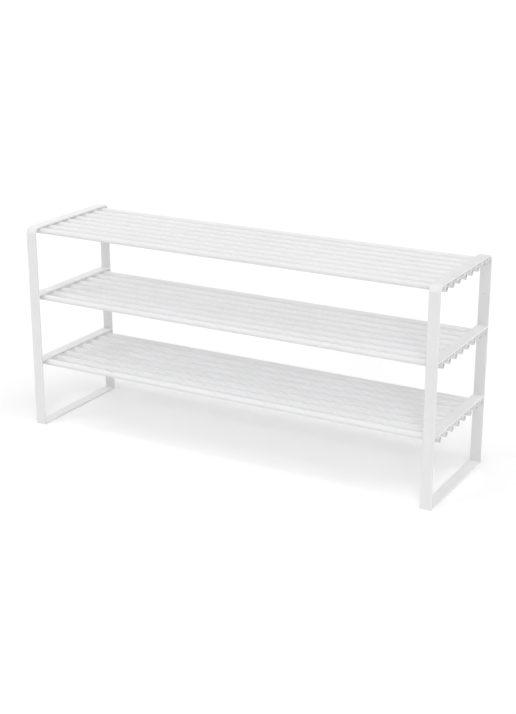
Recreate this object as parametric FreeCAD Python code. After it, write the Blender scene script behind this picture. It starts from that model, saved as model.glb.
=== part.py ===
"""Three-tier shoe rack: two flat-bar side frames joined by three shelves of round tubes, all welded steel.

Millimetres. X runs along the shelves, Y from front (-) to back (+), Z up.
The origin is the centre of the footprint, on the floor.
"""
import FreeCAD, Part
import os

# --- overall sizes -------------------------------------------------------------------------------------
frame_length = 1015.0      # between the outer edges of the two side frames
frame_depth = 290.0        # between the outer faces of the front and back legs
frame_height = 480.0       # floor to the top face of a side frame
tier_pitch = 159.5         # from the top face of one shelf's bars to the next one's

# --- flat bar ------------------------------------------------------------------------------------------
bar_width = 25.0
bar_thickness = 4.0
bar_edge_radius = 0.6      # rolled edges of the flat bar
bend_radius = 16.0         # outside radius of the two upper bends of a hoop

# --- shelf tubes ---------------------------------------------------------------------------------------
tube_diameter = 13.0
tube_wall = 1.0
tubes_per_shelf = 8
tube_clearance = 13.75     # between the inner face of a leg and the outermost tube
tube_overhang = 3.5        # how far a tube end stands out past the outer edge of the side frame
tube_lip = 0.25            # break of the sharp edges at the tube mouths

# --- welds ---------------------------------------------------------------------------------------------
tube_weld_root = 1.5       # from the tube's crown to where a bead starts, along the bar
tube_weld_drop = 2.4       # how far down the tube's flank a bead reaches
tube_weld_lean = 0.4       # how much farther out a bead's face is at the bar than at the tube
tube_weld_inset = 3.0      # each bead stops this far inside the bar's edges
bar_weld_leg = 2.6         # fillet leg at the ends of the crossbars and floor bars
bar_weld_inset = 1.2       # each bead stops this far inside the bar's edges

# --- wall fixing holes in the back legs ----------------------------------------------------------------
wall_hole_diameter = 3.0
wall_hole_bays = (0, 1)    # bays counted from the top that have a hole at mid height

# --- values that follow from the sizes above -----------------------------------------------------------
tube_radius = tube_diameter / 2
half_length = frame_length / 2
half_depth = frame_depth / 2
bar_inset = half_length - bar_width / 2
tier_tops = {
    "top": frame_height,
    "middle": frame_height - tier_pitch,
    "lower": frame_height - 2 * tier_pitch,
}
outer_tube_y = half_depth - bar_thickness - tube_clearance - tube_radius
tube_step = 2 * outer_tube_y / (tubes_per_shelf - 1)
clear_span = frame_depth - 2 * bar_thickness
side_centres = {"left": -bar_inset, "right": bar_inset}


def tube_centre_y(number):
    """Front-to-back place of a tube, counted from 1 at the front."""
    return -outer_tube_y + (number - 1) * tube_step


def tube_centre_z(tier):
    """Height of a tube's axis: the tube touches the underside of its bars."""
    return tier_tops[tier] - bar_thickness - tube_radius


def save(node, shape):
    shape.exportStep(f"parts/{node}.step")
    print(f"{node:28s} solids {len(shape.Solids):3d}  volume {shape.Volume:12.1f} mm3")


def polygon_prism(points_yz, centre_x, width):
    """A prism along X with the given outline in the YZ plane."""
    start_x = centre_x - width / 2
    corners = [FreeCAD.Vector(start_x, y, z) for y, z in points_yz]
    outline = Part.makePolygon(corners + corners[:1])
    return Part.Face(outline).extrude(FreeCAD.Vector(width, 0, 0))


def long_edges_rounded(solid, radius):
    """Rounds the edges that run along the bar at its two side faces."""
    side_edges = []
    for edge in solid.Edges:
        box = edge.BoundBox
        if box.XLength < radius / 10:
            side_edges.append(edge)
    return solid.makeFillet(radius, side_edges)


def flat_bar(side, top_z):
    """A straight flat bar lying between the legs, with its top face at top_z."""
    end_y = half_depth - bar_thickness
    under_z = top_z - bar_thickness
    solid = Part.makeBox(
        bar_width, clear_span, bar_thickness,
        FreeCAD.Vector(side_centres[side] - bar_width / 2, -end_y, under_z),
    )
    along = []
    for edge in solid.Edges:
        if edge.BoundBox.YLength > clear_span / 2:
            along.append(edge)
    return solid.makeFillet(bar_edge_radius, along)


def arch(span, height, radius):
    """A block one bar wide standing on the floor, centred front to back, its two upper edges rounded."""
    solid = Part.makeBox(bar_width, span, height, FreeCAD.Vector(-bar_width / 2, -span / 2, 0))
    upper_edges = []
    for edge in solid.Edges:
        box = edge.BoundBox
        if box.XLength > bar_width / 2 and box.ZMin > height / 2:
            upper_edges.append(edge)
    return solid.makeFillet(radius, upper_edges)


def wall_hole_heights():
    """Heights of the wall fixing holes, half way between the tubes of a shelf and the bars below them."""
    heights = []
    tops = list(tier_tops.values())
    for bay in wall_hole_bays:
        ceiling = tops[bay] - bar_thickness - tube_diameter
        heights.append((ceiling + tops[bay + 1]) / 2)
    return heights


def hoop(side):
    """Front leg, top bar and back leg in one length of bent flat bar, with the wall holes in the back leg."""
    outside = arch(frame_depth, frame_height, bend_radius)
    inside = arch(clear_span, frame_height - bar_thickness, bend_radius - bar_thickness)
    solid = long_edges_rounded(outside.cut(inside), bar_edge_radius)
    solid.translate(FreeCAD.Vector(side_centres[side], 0, 0))
    for height in wall_hole_heights():
        drill = Part.makeCylinder(
            wall_hole_diameter / 2, 3 * bar_thickness,
            FreeCAD.Vector(side_centres[side], half_depth - 2 * bar_thickness, height),
            FreeCAD.Vector(0, 1, 0),
        )
        solid = solid.cut(drill)
    return solid


def shelf_tube(tier, number):
    """An open round tube, its mouth edges slightly broken."""
    length = frame_length + 2 * tube_overhang
    start = FreeCAD.Vector(-length / 2, tube_centre_y(number), tube_centre_z(tier))
    along_x = FreeCAD.Vector(1, 0, 0)
    solid = Part.makeCylinder(tube_radius, length, start, along_x)
    solid = solid.cut(Part.makeCylinder(tube_radius - tube_wall, length, start, along_x))
    mouth_edges = []
    for edge in solid.Edges:
        if edge.BoundBox.XLength < tube_lip:
            mouth_edges.append(edge)
    return solid.makeFillet(tube_lip, mouth_edges)


def tube_welds(side, tier):
    """Two fillet beads under the bar at every tube, one on each flank."""
    under_z = tier_tops[tier] - bar_thickness
    width = bar_width - 2 * tube_weld_inset
    axis_z = tube_centre_z(tier)
    foot_z = under_z - tube_weld_drop
    foot_reach = (tube_radius ** 2 - (foot_z - axis_z) ** 2) ** 0.5
    beads = []
    for number in range(1, tubes_per_shelf + 1):
        axis_y = tube_centre_y(number)
        tube_body = Part.makeCylinder(
            tube_radius, bar_width,
            FreeCAD.Vector(side_centres[side] - bar_width / 2, axis_y, axis_z),
            FreeCAD.Vector(1, 0, 0),
        )
        for flank in (-1, 1):
            root_y = axis_y + flank * tube_weld_root
            foot_y = axis_y + flank * foot_reach
            toe_y = foot_y + flank * tube_weld_lean
            prism = polygon_prism(
                [(root_y, under_z), (toe_y, under_z), (foot_y, foot_z), (root_y, foot_z)],
                side_centres[side], width,
            )
            beads.append(prism.cut(tube_body))
    return Part.makeCompound(beads)


def corner_bead(side, leg_face_y, inward, face_z, upward):
    """A fillet bead in the corner between a leg's inner face and a bar's top or under face."""
    width = bar_width - 2 * bar_weld_inset
    corner = (leg_face_y, face_z)
    along_bar = (leg_face_y + inward * bar_weld_leg, face_z)
    up_leg = (leg_face_y, face_z + upward * bar_weld_leg)
    return polygon_prism([corner, along_bar, up_leg], side_centres[side], width)


def bar_welds(side, top_z, underside):
    """The beads that join both ends of one bar to the legs, above it and, if it is off the floor, below."""
    leg_face_y = half_depth - bar_thickness
    beads = []
    for end in (-1, 1):
        beads.append(corner_bead(side, end * leg_face_y, -end, top_z, 1))
        if underside:
            beads.append(corner_bead(side, end * leg_face_y, -end, top_z - bar_thickness, -1))
    return Part.makeCompound(beads)


def build_side(side):
    save(f"{side}_hoop", hoop(side))
    save(f"{side}_floor_bar", flat_bar(side, bar_thickness))
    save(f"{side}_floor_bar_welds", bar_welds(side, bar_thickness, False))
    for tier in ("middle", "lower"):
        save(f"{side}_{tier}_crossbar", flat_bar(side, tier_tops[tier]))
        save(f"{side}_{tier}_crossbar_welds", bar_welds(side, tier_tops[tier], True))
    for tier in tier_tops:
        save(f"{side}_{tier}_tube_welds", tube_welds(side, tier))


def build_shelf(tier):
    for number in range(1, tubes_per_shelf + 1):
        save(f"{tier}_tube_{number}", shelf_tube(tier, number))


os.makedirs("parts", exist_ok=True)
for rack_side in side_centres:
    build_side(rack_side)
for rack_tier in tier_tops:
    build_shelf(rack_tier)
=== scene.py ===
"""A white three-tier shoe rack in its studio: flat-bar side frames, three shelves of tubes, weld beads."""
import math

import bmesh
import bpy
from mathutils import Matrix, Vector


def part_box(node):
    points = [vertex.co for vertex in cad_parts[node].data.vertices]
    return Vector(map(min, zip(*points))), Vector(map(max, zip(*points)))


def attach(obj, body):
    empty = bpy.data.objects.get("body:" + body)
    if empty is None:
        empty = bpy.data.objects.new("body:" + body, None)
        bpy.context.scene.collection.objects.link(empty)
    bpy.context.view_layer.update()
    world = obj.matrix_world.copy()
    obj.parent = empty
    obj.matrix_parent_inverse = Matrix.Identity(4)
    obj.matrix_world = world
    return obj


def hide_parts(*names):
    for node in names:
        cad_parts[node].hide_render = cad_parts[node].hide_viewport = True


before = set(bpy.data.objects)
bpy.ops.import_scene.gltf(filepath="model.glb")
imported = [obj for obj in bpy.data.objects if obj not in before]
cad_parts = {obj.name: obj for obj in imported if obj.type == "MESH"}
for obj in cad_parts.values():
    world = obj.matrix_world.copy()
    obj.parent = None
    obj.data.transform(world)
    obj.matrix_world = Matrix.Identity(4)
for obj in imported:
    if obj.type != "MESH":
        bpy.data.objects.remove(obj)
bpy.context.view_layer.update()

# --- sizes read from the frame, in metres ----------------------------------------------------------------
SIDES = ("left", "right")
TIERS = ("top", "middle", "lower")
TUBES_PER_SHELF = 8

hoop_low, hoop_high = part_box("right_hoop")
bar_low, bar_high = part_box("right_middle_crossbar")
tube_low, tube_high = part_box("top_tube_1")
tube_weld_low, tube_weld_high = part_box("right_top_tube_welds")
bar_weld_low, bar_weld_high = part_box("right_floor_bar_welds")

FRAME_HEIGHT = hoop_high.z
FRAME_DEPTH = hoop_high.y - hoop_low.y
BAR_WIDTH = bar_high.x - bar_low.x
BAR_THICKNESS = bar_high.z - bar_low.z
CLEAR_SPAN = bar_high.y - bar_low.y
SIDE_X = {"left": -(hoop_low.x + hoop_high.x) / 2, "right": (hoop_low.x + hoop_high.x) / 2}
TUBE_LENGTH = tube_high.x - tube_low.x
TUBE_RADIUS = (tube_high.y - tube_low.y) / 2
TUBE_BEAD_LENGTH = tube_weld_high.x - tube_weld_low.x
BAR_BEAD_LENGTH = bar_weld_high.x - bar_weld_low.x

# --- sizes the frame doesn't state -----------------------------------------------------------------------
BAR_EDGE_RADIUS = 0.0006
BAR_EDGE_STEPS = 4
BEND_RADIUS = 0.016
BEND_STEPS = 14
SAWN_EDGE = 0.0003          # break of the sawn feet and bar ends
SAWN_EDGE_STEPS = 2
TUBE_SIDES = 40
TUBE_WALL = 0.001
TUBE_LIP = 0.00025
TUBE_LIP_STEPS = 3
WALL_HOLE_RADIUS = 0.0015
WALL_HOLE_SIDES = 28
TUBE_BEAD_RADIUS = 0.00135
TUBE_BEAD_SPREAD = 0.68     # from the tube's middle to its beads, in tube radii
TUBE_BEAD_SINK = 0.55       # from the tube's crown down to its beads, in bead radii
BAR_BEAD_RADIUS = 0.0018
BAR_BEAD_OUT = 0.45         # from the faces it joins to the middle of a bead, in bead radii
BEAD_SIDES = 8
BEAD_RINGS = 10
BEAD_END = 0.08             # where on the half wave of its taper a bead starts and stops
BEAD_BLUNTNESS = 0.35       # power that keeps a bead full almost to its ends
BEAD_HOLLOW = 0.88          # width of a bead between two ripples

# --- limits for the modelling -----------------------------------------------------------------------------
SAME_POINT = 1e-6           # points closer than this are merged
ALONG_AXIS = 0.99           # least share of an end face's normal that lies along its bar
BAR_SMOOTH_BELOW = 35       # degrees between faces that still shade as one surface
TUBE_SMOOTH_BELOW = 40
BEAD_SMOOTH_BELOW = 70
LIP_ABOVE = 60              # degrees: only corners sharper than this get the lip


# --- modelling hands --------------------------------------------------------------------------------------
def put_everything_down():
    """Leaves edit mode and deselects every object."""
    if bpy.context.object and bpy.context.object.mode != "OBJECT":
        bpy.ops.object.mode_set(mode="OBJECT")
    bpy.ops.object.select_all(action="DESELECT")


def take_up(piece):
    """Makes one piece the only selected object, and the active one."""
    put_everything_down()
    piece.select_set(True)
    bpy.context.view_layer.objects.active = piece


def open_mesh(piece, select_by):
    """Enters edit mode with everything selected; select_by is VERT, EDGE or FACE."""
    take_up(piece)
    bpy.ops.object.mode_set(mode="EDIT")
    bpy.ops.mesh.select_mode(type=select_by)
    bpy.ops.mesh.select_all(action="SELECT")


def choose(piece, kind, wanted):
    """In edit mode, selects only the verts, edges or faces that wanted() says yes to."""
    bpy.ops.mesh.select_all(action="DESELECT")
    mesh = bmesh.from_edit_mesh(piece.data)
    for element in getattr(mesh, kind):
        if wanted(element):
            element.select_set(True)
    bmesh.update_edit_mesh(piece.data)


def close_mesh(piece, smooth_below=BAR_SMOOTH_BELOW):
    """Merges doubled points, turns all faces outwards and shades smooth except at sharp edges."""
    bpy.ops.mesh.select_all(action="SELECT")
    bpy.ops.mesh.remove_doubles(threshold=SAME_POINT)
    bpy.ops.mesh.normals_make_consistent(inside=False)
    take_up(piece)
    bpy.ops.object.transform_apply(location=True, rotation=True, scale=True)
    bpy.ops.object.shade_smooth_by_angle(angle=math.radians(smooth_below))


def flatten_shading(piece):
    """Lets the large faces rule the shading, so that only the narrow rounded edges look round."""
    take_up(piece)
    even = piece.modifiers.new("even_faces", "WEIGHTED_NORMAL")
    even.keep_sharp = True
    even.weight = 100
    bpy.ops.object.modifier_apply(modifier=even.name)


def push(x=0.0, y=0.0, z=0.0):
    """Extrudes what is selected along a straight run."""
    bpy.ops.mesh.extrude_region_move(TRANSFORM_OT_translate={"value": (x, y, z)})


def named(piece, name):
    """Gives a piece and its mesh the same name."""
    piece.name = name
    piece.data.name = name
    return piece


def copy_moved(piece, name, offset):
    """A copy with its own mesh, moved inside that mesh."""
    twin = named(piece.copy(), name)
    twin.data = piece.data.copy()
    twin.data.name = name
    bpy.context.scene.collection.objects.link(twin)
    open_mesh(twin, "VERT")
    bpy.ops.transform.translate(value=offset)
    put_everything_down()
    return twin


def settle(piece, node, slot, *materials):
    """Rides the piece on the rack, in place of its CAD node, with its finish."""
    piece.data.materials.clear()
    for material in materials:
        piece.data.materials.append(material)
    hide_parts(node)
    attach(piece, "root")


# --- flat bar ---------------------------------------------------------------------------------------------
def rolled_section(centre, facing):
    """The flat bar's section with rolled corners, as one face in edit mode. It faces along Y or Z."""
    turn = (math.pi / 2, 0, 0) if facing == "Y" else (0, 0, 0)
    put_everything_down()
    bpy.ops.mesh.primitive_plane_add(size=1, location=centre, rotation=turn)
    piece = bpy.context.object
    bpy.ops.object.transform_apply(location=True, rotation=True, scale=True)
    open_mesh(piece, "VERT")
    across = (BAR_WIDTH, 1, BAR_THICKNESS) if facing == "Y" else (BAR_WIDTH, BAR_THICKNESS, 1)
    bpy.ops.transform.resize(value=across, center_override=centre)
    bpy.ops.mesh.bevel(offset=BAR_EDGE_RADIUS, segments=BAR_EDGE_STEPS, affect="VERTICES")
    bpy.ops.mesh.select_mode(type="FACE")
    return piece


def break_end_edges(piece, is_end_face):
    """Takes the sharpness off the rim of the sawn end faces."""
    bpy.ops.mesh.select_mode(type="FACE")
    choose(piece, "faces", is_end_face)
    bpy.ops.mesh.region_to_loop()
    bpy.ops.mesh.bevel(offset=SAWN_EDGE, segments=SAWN_EDGE_STEPS, affect="EDGES")


def wall_hole_heights():
    """Half way between the tubes of a shelf and the bars of the next one down, for the two upper bays."""
    heights = []
    for tier, tier_below in zip(TIERS, TIERS[1:]):
        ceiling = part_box(f"{tier}_tube_1")[0].z
        bar_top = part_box(f"right_{tier_below}_crossbar")[1].z
        heights.append((ceiling + bar_top) / 2)
    return heights


def drill_wall_holes(piece, side):
    """Bores the two fixing holes through the back leg."""
    back_leg_y = FRAME_DEPTH / 2 - BAR_THICKNESS / 2
    for height in wall_hole_heights():
        put_everything_down()
        bpy.ops.mesh.primitive_cylinder_add(
            vertices=WALL_HOLE_SIDES, radius=WALL_HOLE_RADIUS, depth=4 * BAR_THICKNESS,
            location=(SIDE_X[side], back_leg_y, height), rotation=(math.pi / 2, 0, 0),
        )
        drill = bpy.context.object
        take_up(piece)
        hole = piece.modifiers.new("wall_hole", "BOOLEAN")
        hole.operation = "DIFFERENCE"
        hole.solver = "EXACT"
        hole.object = drill
        bpy.ops.object.modifier_apply(modifier=hole.name)
        bpy.data.objects.remove(drill)


def is_foot(face):
    """Whether a face of a hoop is the sawn end of a leg, on the floor."""
    return abs(face.normal.z) > ALONG_AXIS and face.calc_center_median().z < BAR_THICKNESS


def side_hoop(side):
    """Front leg, top bar and back leg: one length of flat bar, bent twice."""
    leg_y = FRAME_DEPTH / 2 - BAR_THICKNESS / 2
    bend_y = FRAME_DEPTH / 2 - BEND_RADIUS
    bend_z = FRAME_HEIGHT - BEND_RADIUS
    piece = rolled_section((SIDE_X[side], -leg_y, 0), "Z")
    push(z=bend_z)
    bpy.ops.mesh.spin(
        steps=BEND_STEPS, angle=math.pi / 2, center=(SIDE_X[side], -bend_y, bend_z), axis=(1, 0, 0)
    )
    push(y=2 * bend_y)
    bpy.ops.mesh.spin(
        steps=BEND_STEPS, angle=math.pi / 2, center=(SIDE_X[side], bend_y, bend_z), axis=(1, 0, 0)
    )
    push(z=-bend_z)
    break_end_edges(piece, is_foot)
    close_mesh(piece)
    drill_wall_holes(piece, side)
    take_up(piece)
    bpy.ops.object.shade_smooth_by_angle(angle=math.radians(BAR_SMOOTH_BELOW))
    flatten_shading(piece)
    return named(piece, f"{side}_side_hoop")


def straight_bar(side, top_z, name):
    """A flat bar lying between the two legs of one side frame."""
    piece = rolled_section((SIDE_X[side], -CLEAR_SPAN / 2, top_z - BAR_THICKNESS / 2), "Y")
    push(y=CLEAR_SPAN)
    break_end_edges(piece, lambda face: abs(face.normal.y) > ALONG_AXIS)
    close_mesh(piece)
    flatten_shading(piece)
    return named(piece, name)


# --- tubes ------------------------------------------------------------------------------------------------
def open_tube(name, centre):
    """A thin-walled tube along X, open at both ends, with a small lip round each mouth."""
    put_everything_down()
    bpy.ops.mesh.primitive_circle_add(
        vertices=TUBE_SIDES, radius=TUBE_RADIUS, fill_type="NOTHING",
        location=(-TUBE_LENGTH / 2, centre.y, centre.z), rotation=(0, math.pi / 2, 0),
    )
    piece = bpy.context.object
    bpy.ops.object.transform_apply(location=True, rotation=True, scale=True)
    open_mesh(piece, "EDGE")
    push(x=TUBE_LENGTH)
    close_mesh(piece)
    take_up(piece)
    wall = piece.modifiers.new("wall", "SOLIDIFY")
    wall.thickness = TUBE_WALL
    wall.offset = -1
    wall.material_offset = 1
    bpy.ops.object.modifier_apply(modifier=wall.name)
    lip = piece.modifiers.new("lip", "BEVEL")
    lip.width = TUBE_LIP
    lip.segments = TUBE_LIP_STEPS
    lip.limit_method = "ANGLE"
    lip.angle_limit = math.radians(LIP_ABOVE)
    bpy.ops.object.modifier_apply(modifier=lip.name)
    bpy.ops.object.shade_smooth_by_angle(angle=math.radians(TUBE_SMOOTH_BELOW))
    flatten_shading(piece)
    return named(piece, name)


# --- weld beads -------------------------------------------------------------------------------------------
def weld_bead(length, radius):
    """One bead along X at the origin: a slim bar with tapered ends and the ripples of the weld pool."""
    put_everything_down()
    bpy.ops.mesh.primitive_cylinder_add(
        vertices=BEAD_SIDES, radius=radius, depth=length, end_fill_type="NGON", rotation=(0, math.pi / 2, 0)
    )
    piece = bpy.context.object
    bpy.ops.object.transform_apply(location=True, rotation=True, scale=True)
    open_mesh(piece, "EDGE")
    choose(piece, "edges", lambda edge: abs(edge.verts[0].co.x - edge.verts[1].co.x) > length / 2)
    bpy.ops.mesh.subdivide(number_cuts=BEAD_RINGS - 1)
    bpy.ops.mesh.select_mode(type="VERT")
    for ring in range(BEAD_RINGS + 1):
        x = -length / 2 + length * ring / BEAD_RINGS
        along = BEAD_END + (1 - 2 * BEAD_END) * ring / BEAD_RINGS
        taper = math.sin(math.pi * along) ** BEAD_BLUNTNESS
        ripple = 1.0 if ring % 2 else BEAD_HOLLOW
        choose(piece, "verts", lambda vert: abs(vert.co.x - x) < length / BEAD_RINGS / 4)
        swell = taper * ripple
        bpy.ops.transform.resize(value=(1, swell, swell), center_override=(x, 0, 0))
    close_mesh(piece, BEAD_SMOOTH_BELOW)
    return piece


def bead_group(name, pattern, places):
    """Copies of one bead at the given places, joined into one piece."""
    put_everything_down()
    beads = [copy_moved(pattern, f"{name}_{number}", place) for number, place in enumerate(places)]
    take_up(beads[0])
    for bead in beads:
        bead.select_set(True)
    bpy.ops.object.join()
    return named(bpy.context.object, name)


def tube_bead_places(side, tier):
    """Both flanks of each tube, tucked up under the bar."""
    places = []
    for number in range(1, TUBES_PER_SHELF + 1):
        low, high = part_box(f"{tier}_tube_{number}")
        tube_y = (low.y + high.y) / 2
        bead_z = high.z - TUBE_BEAD_RADIUS * TUBE_BEAD_SINK
        for flank in (-1, 1):
            bead_y = tube_y + flank * TUBE_RADIUS * TUBE_BEAD_SPREAD
            places.append((SIDE_X[side], bead_y, bead_z))
    return places


def bar_bead_places(side, top_z, under_too):
    """The corners where a bar's ends meet the legs, above the bar and under it."""
    out = BAR_BEAD_RADIUS * BAR_BEAD_OUT
    places = []
    for end in (-1, 1):
        y = end * (CLEAR_SPAN / 2 - out)
        places.append((SIDE_X[side], y, top_z + out))
        if under_too:
            places.append((SIDE_X[side], y, top_z - BAR_THICKNESS - out))
    return places


# --- finishes ---------------------------------------------------------------------------------------------
class Finish:
    """A node material, with short ways to add and wire its nodes."""

    def __init__(self, name):
        self.material = bpy.data.materials.new(name)
        self.material.use_nodes = True
        self.tree = self.material.node_tree
        self.shader = self.tree.nodes["Principled BSDF"]
        self.place = self.add("ShaderNodeTexCoord").outputs["Object"]

    def add(self, kind, **settings):
        """A new node of this kind, with its settings."""
        made = self.tree.nodes.new(kind)
        for setting, value in settings.items():
            setattr(made, setting, value)
        return made

    def feed(self, socket, value):
        """Wires a socket into this one, or sets it to a constant."""
        if isinstance(value, bpy.types.NodeSocket):
            self.tree.links.new(value, socket)
        else:
            socket.default_value = value

    def maths(self, operation, *values):
        """One step of arithmetic on sockets or constants."""
        made = self.add("ShaderNodeMath", operation=operation)
        for number, value in enumerate(values):
            self.feed(made.inputs[number], value)
        return made.outputs[0]

    def stretched(self, scale):
        """Object coordinates stretched by a factor on each axis."""
        made = self.add("ShaderNodeMapping")
        self.feed(made.inputs["Vector"], self.place)
        made.inputs["Scale"].default_value = scale
        return made.outputs[0]

    def noise(self, scale, detail=2.0, roughness=0.5, where=None):
        """Noise from 0 to 1, with scale waves to the metre."""
        made = self.add("ShaderNodeTexNoise")
        self.feed(made.inputs["Vector"], where or self.place)
        made.inputs["Scale"].default_value = scale
        made.inputs["Detail"].default_value = detail
        made.inputs["Roughness"].default_value = roughness
        return made.outputs["Fac"]

    def between(self, value, low, high, to_low=0.0, to_high=1.0):
        """Runs smoothly from to_low to to_high as the value goes from low to high."""
        made = self.add("ShaderNodeMapRange", interpolation_type="SMOOTHSTEP")
        self.feed(made.inputs["Value"], value)
        made.inputs["From Min"].default_value = low
        made.inputs["From Max"].default_value = high
        made.inputs["To Min"].default_value = to_low
        made.inputs["To Max"].default_value = to_high
        return made.outputs["Result"]

    def blend(self, share, first, second):
        """A colour between two others."""
        made = self.add("ShaderNodeMix", data_type="RGBA")
        self.feed(made.inputs["Factor"], share)
        self.feed(made.inputs["A"], first)
        self.feed(made.inputs["B"], second)
        return made.outputs["Result"]

    def bump(self, height, distance, under=None):
        """A relief of this depth in metres, on top of the one under it."""
        made = self.add("ShaderNodeBump")
        made.inputs["Distance"].default_value = distance
        self.feed(made.inputs["Height"], height)
        if under:
            self.feed(made.inputs["Normal"], under)
        return made.outputs["Normal"]


WHITE_COAT = (0.735, 0.733, 0.742, 1)
WARM_COAT = (0.720, 0.718, 0.722, 1)
THIN_COAT = (0.670, 0.667, 0.665, 1)
BARE_STEEL = (0.300, 0.295, 0.285, 1)

# Noise scales, in waves to the metre.
TONE_PATCHES = 7.0
SPECKS = 950.0
GLOSS_CLOUDS = 45.0
RUB_STREAKS = (260.0, 30.0, 260.0)
COARSE_PEEL = 420.0
FINE_PEEL = 1900.0
EDGE_WEAR = 85.0
OVERSPRAY_SPOTS = 300.0
BORE_GRAIN = 700.0

# The stretch of each noise over which its effect comes in.
PATCH_RANGE = (0.35, 0.70)
SPECK_RANGE = (0.74, 0.80)
CLOUD_RANGE = (0.25, 0.75)
RUB_RANGE = (0.60, 0.72)
EDGE_WEAR_RANGE = (0.42, 0.68)
OVERSPRAY_RANGE = (0.25, 0.85)

# How strongly each effect shows, from 0 to 1.
SPECK_SHARE = 0.35
WORN_SHARE = 0.55
FINE_PEEL_SHARE = 0.25
SPOT_SHARE = 0.35

# Roughness of the coat where it is glossiest and dullest, what wear adds to it, and its shine.
GLOSSIEST = 0.34
DULLEST = 0.48
RUBBED_ADDS = 0.07
WORN_ADDS = 0.06
COAT_SHINE = 0.45

# Relief heights, in metres.
BAR_PEEL = 0.00003
TUBE_PEEL = 0.000022
WELD_PEEL = 0.00007
BORE_GRAIN_HEIGHT = 0.00005

# How far in from an edge or a mouth an effect starts, and where it is full, in metres.
EDGE_WEAR_STARTS = 0.0011
EDGE_WEAR_FULL = 0.0002
RIM_WEAR_STARTS = 0.0008
RIM_WEAR_FULL = 0.0001
OVERSPRAY_STARTS = 0.022
OVERSPRAY_FULL = 0.004

# Roughness and metal look of a bore, bare and covered.
BORE_ROUGHNESS = (0.42, 0.62)
BORE_METALLIC = (0.9, 0.0)


def powder_coat(finish, peel, worn=None):
    """White satin powder coat: faint patches of tone, orange peel, uneven gloss, thinner on worn edges."""
    patches = finish.noise(TONE_PATCHES, detail=3.0)
    colour = finish.blend(finish.between(patches, *PATCH_RANGE), WHITE_COAT, WARM_COAT)
    specks = finish.between(finish.noise(SPECKS, detail=1.0), *SPECK_RANGE)
    colour = finish.blend(finish.maths("MULTIPLY", specks, SPECK_SHARE), colour, THIN_COAT)
    clouds = finish.noise(GLOSS_CLOUDS, detail=4.0, roughness=0.6)
    gloss = finish.between(clouds, *CLOUD_RANGE, GLOSSIEST, DULLEST)
    streaks = finish.noise(1.0, detail=5.0, roughness=0.65, where=finish.stretched(RUB_STREAKS))
    rubbed = finish.between(streaks, *RUB_RANGE)
    gloss = finish.maths("ADD", gloss, finish.maths("MULTIPLY", rubbed, RUBBED_ADDS))
    if worn is not None:
        colour = finish.blend(finish.maths("MULTIPLY", worn, WORN_SHARE), colour, THIN_COAT)
        gloss = finish.maths("ADD", gloss, finish.maths("MULTIPLY", worn, WORN_ADDS))
    coarse = finish.bump(finish.noise(COARSE_PEEL, detail=1.5, roughness=0.4), peel)
    fine = finish.bump(finish.noise(FINE_PEEL), peel * FINE_PEEL_SHARE, coarse)
    finish.feed(finish.shader.inputs["Base Color"], colour)
    finish.feed(finish.shader.inputs["Roughness"], gloss)
    finish.feed(finish.shader.inputs["Normal"], fine)
    finish.shader.inputs["Specular IOR Level"].default_value = COAT_SHINE
    return finish.material


def across_rack(finish):
    """Distance from the rack's middle plane, in metres."""
    split = finish.add("ShaderNodeSeparateXYZ")
    finish.feed(split.inputs[0], finish.place)
    return finish.maths("ABSOLUTE", split.outputs["X"])


def flat_bar_finish():
    """The coat on the bars, thinner along the rolled edges."""
    finish = Finish("flat_bar_powder_coat")
    from_bar = finish.maths("SUBTRACT", across_rack(finish), SIDE_X["right"])
    from_centre_line = finish.maths("ABSOLUTE", from_bar)
    edge = BAR_WIDTH / 2
    at_edge = finish.between(from_centre_line, edge - EDGE_WEAR_STARTS, edge - EDGE_WEAR_FULL)
    broken = finish.between(finish.noise(EDGE_WEAR, detail=4.0, roughness=0.6), *EDGE_WEAR_RANGE)
    return powder_coat(finish, BAR_PEEL, finish.maths("MULTIPLY", at_edge, broken))


def tube_finish():
    """The coat on the tubes, thinner at the rim of their mouths."""
    finish = Finish("tube_powder_coat")
    mouth = TUBE_LENGTH / 2
    rim = finish.between(across_rack(finish), mouth - RIM_WEAR_STARTS, mouth - RIM_WEAR_FULL)
    return powder_coat(finish, TUBE_PEEL, rim)


def weld_finish():
    """The coat over the beads, with a deeper orange peel."""
    finish = Finish("weld_powder_coat")
    return powder_coat(finish, WELD_PEEL)


def bore_finish():
    """Inside a tube: overspray just behind the mouth, fading to bare steel."""
    finish = Finish("tube_bore_overspray")
    mouth = TUBE_LENGTH / 2
    depth = finish.between(across_rack(finish), mouth - OVERSPRAY_STARTS, mouth - OVERSPRAY_FULL)
    spots = finish.maths("MULTIPLY", finish.noise(OVERSPRAY_SPOTS, detail=3.0), SPOT_SHARE)
    covered = finish.between(finish.maths("ADD", depth, spots), *OVERSPRAY_RANGE)
    grain = finish.bump(finish.noise(BORE_GRAIN), BORE_GRAIN_HEIGHT)
    finish.feed(finish.shader.inputs["Base Color"], finish.blend(covered, BARE_STEEL, WARM_COAT))
    finish.feed(finish.shader.inputs["Roughness"], finish.between(covered, 0.0, 1.0, *BORE_ROUGHNESS))
    finish.feed(finish.shader.inputs["Metallic"], finish.between(covered, 0.0, 1.0, *BORE_METALLIC))
    finish.feed(finish.shader.inputs["Normal"], grain)
    return finish.material


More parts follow.
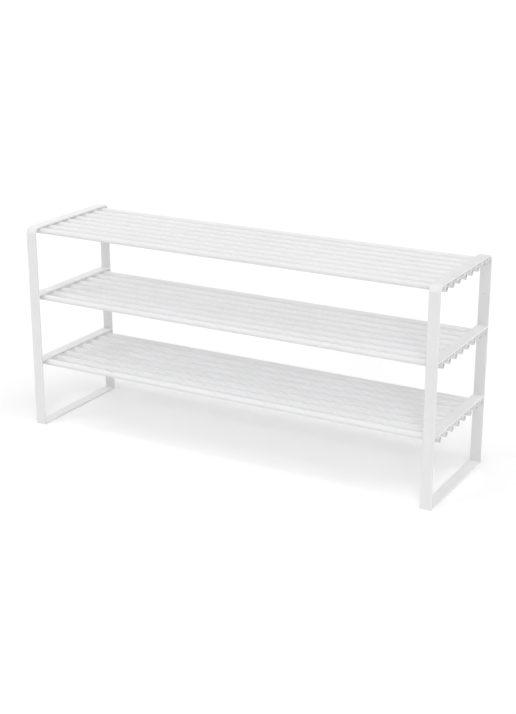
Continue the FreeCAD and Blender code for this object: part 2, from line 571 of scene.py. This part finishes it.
# --- the rack ---------------------------------------------------------------------------------------------
def build_side_frames(coat):
    """Both side frames: the hoop, the floor bar and the two crossbars of each."""
    for side in SIDES:
        settle(side_hoop(side), f"{side}_hoop", "flat_bar_coat", coat)
        floor_bar = straight_bar(side, BAR_THICKNESS, f"{side}_floor_flat_bar")
        settle(floor_bar, f"{side}_floor_bar", "flat_bar_coat", coat)
        for tier in TIERS[1:]:
            node = f"{side}_{tier}_crossbar"
            crossbar = straight_bar(side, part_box(node)[1].z, f"{side}_{tier}_flat_bar")
            settle(crossbar, node, "flat_bar_coat", coat)


def build_tubes(coat, bore):
    """All the tubes, as copies of one. Their walls keep the coat outside and the bore's finish inside."""
    first_centre = (tube_low + tube_high) / 2
    pattern = open_tube("tube_pattern", first_centre)
    for tier in TIERS:
        for number in range(1, TUBES_PER_SHELF + 1):
            node = f"{tier}_tube_{number}"
            low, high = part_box(node)
            tube = copy_moved(pattern, f"{tier}_shelf_tube_{number}", (low + high) / 2 - first_centre)
            kept = [face.material_index for face in tube.data.polygons]
            settle(tube, node, "tube_coat", coat, bore)
            tube.data.polygons.foreach_set("material_index", kept)
    bpy.data.objects.remove(pattern)


def build_welds(coat):
    """The beads of each side frame, grouped by the bar that they sit on."""
    tube_bead = weld_bead(TUBE_BEAD_LENGTH, TUBE_BEAD_RADIUS)
    bar_bead = weld_bead(BAR_BEAD_LENGTH, BAR_BEAD_RADIUS)
    for side in SIDES:
        for tier in TIERS:
            group = bead_group(f"{side}_{tier}_tube_beads", tube_bead, tube_bead_places(side, tier))
            settle(group, f"{side}_{tier}_tube_welds", "weld_coat", coat)
        floor_places = bar_bead_places(side, BAR_THICKNESS, False)
        floor_group = bead_group(f"{side}_floor_bar_beads", bar_bead, floor_places)
        settle(floor_group, f"{side}_floor_bar_welds", "weld_coat", coat)
        for tier in TIERS[1:]:
            top_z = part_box(f"{side}_{tier}_crossbar")[1].z
            places = bar_bead_places(side, top_z, True)
            group = bead_group(f"{side}_{tier}_bar_beads", bar_bead, places)
            settle(group, f"{side}_{tier}_crossbar_welds", "weld_coat", coat)
    bpy.data.objects.remove(tube_bead)
    bpy.data.objects.remove(bar_bead)


# --- the studio -------------------------------------------------------------------------------------------
FLOOR_SIZE = 60.0
FLOOR_COLOUR = (0.88, 0.88, 0.88, 1)
FLOOR_ROUGHNESS = 0.9
FLOOR_SHINE = 0.1
SKY_GLOW = 0.186

CAMERA_LENS = 69.58             # millimetres, on a sensor this wide
CAMERA_SENSOR = 36.0
CAMERA_PLACE = (1.4592, -2.5747, 1.2173)
CAMERA_TURN = (71.162, 0.0, 29.227)     # degrees
CAMERA_REACH = 200.0


def studio_floor():
    """A wide pale floor that fades into the backdrop."""
    put_everything_down()
    bpy.ops.mesh.primitive_plane_add(size=FLOOR_SIZE)
    floor = named(bpy.context.object, "studio_floor")
    finish = Finish("pale_floor")
    finish.shader.inputs["Base Color"].default_value = FLOOR_COLOUR
    finish.shader.inputs["Roughness"].default_value = FLOOR_ROUGHNESS
    finish.shader.inputs["Specular IOR Level"].default_value = FLOOR_SHINE
    floor.data.materials.append(finish.material)


# Each lamp: its name, then in degrees its lift above the floor, its turn from the front towards the right
# and its width, then its strength. The strengths and the sky's glow were fitted together as one set.
STUDIO_LAMPS = (
    ("overhead", 84, 0, 4, 0.20),
    ("key_front_right_high", 60, 60, 40, 0.82),
    ("high_front", 60, 0, 40, 0.52),
    ("high_front_left", 60, -60, 40, 0.23),
    ("low_front_right", 25, 30, 20, 0.67),
    ("low_front_left", 25, -30, 20, 0.42),
    ("right_side", 30, 90, 40, 0.51),
    ("left_side", 30, -90, 40, 0.51),
    ("back_right", 30, 135, 40, 0.79),
    ("back_left", 30, -135, 40, 0.54),
)


def studio_lamps():
    """Soft lamps far away, so that each lights the whole set evenly."""
    for name, lift, turn, width, strength in STUDIO_LAMPS:
        light = bpy.data.lights.new(name, "SUN")
        light.angle = math.radians(width)
        light.energy = strength
        lamp = bpy.data.objects.new(name, light)
        lamp.rotation_euler = (math.radians(90 - lift), 0, math.radians(turn))
        bpy.context.scene.collection.objects.link(lamp)


def studio_sky(glow):
    """A white backdrop that gives off only a weak glow of its own."""
    world = bpy.data.worlds.new("studio_sky")
    world.use_nodes = True
    tree = world.node_tree
    backdrop = tree.nodes["Background"]
    backdrop.inputs["Color"].default_value = (1, 1, 1, 1)
    looked_at = tree.nodes.new("ShaderNodeLightPath")
    strength = tree.nodes.new("ShaderNodeMapRange")
    strength.inputs["To Min"].default_value = glow
    strength.inputs["To Max"].default_value = 1.0
    tree.links.new(looked_at.outputs["Is Camera Ray"], strength.inputs["Value"])
    tree.links.new(strength.outputs["Result"], backdrop.inputs["Strength"])
    bpy.context.scene.world = world


def studio_camera():
    """The camera, looking down at the rack from the front right."""
    camera = bpy.data.cameras.new("studio_camera")
    camera.lens = CAMERA_LENS
    camera.sensor_width = CAMERA_SENSOR
    camera.clip_end = CAMERA_REACH
    holder = bpy.data.objects.new("studio_camera", camera)
    holder.location = CAMERA_PLACE
    holder.rotation_euler = [math.radians(angle) for angle in CAMERA_TURN]
    bpy.context.scene.collection.objects.link(holder)
    bpy.context.scene.camera = holder


bar_coat = flat_bar_finish()
build_side_frames(bar_coat)
build_tubes(tube_finish(), bore_finish())
build_welds(weld_finish())

studio_floor()
studio_sky(SKY_GLOW)
studio_lamps()
studio_camera()
bpy.context.scene.view_settings.view_transform = "Standard"
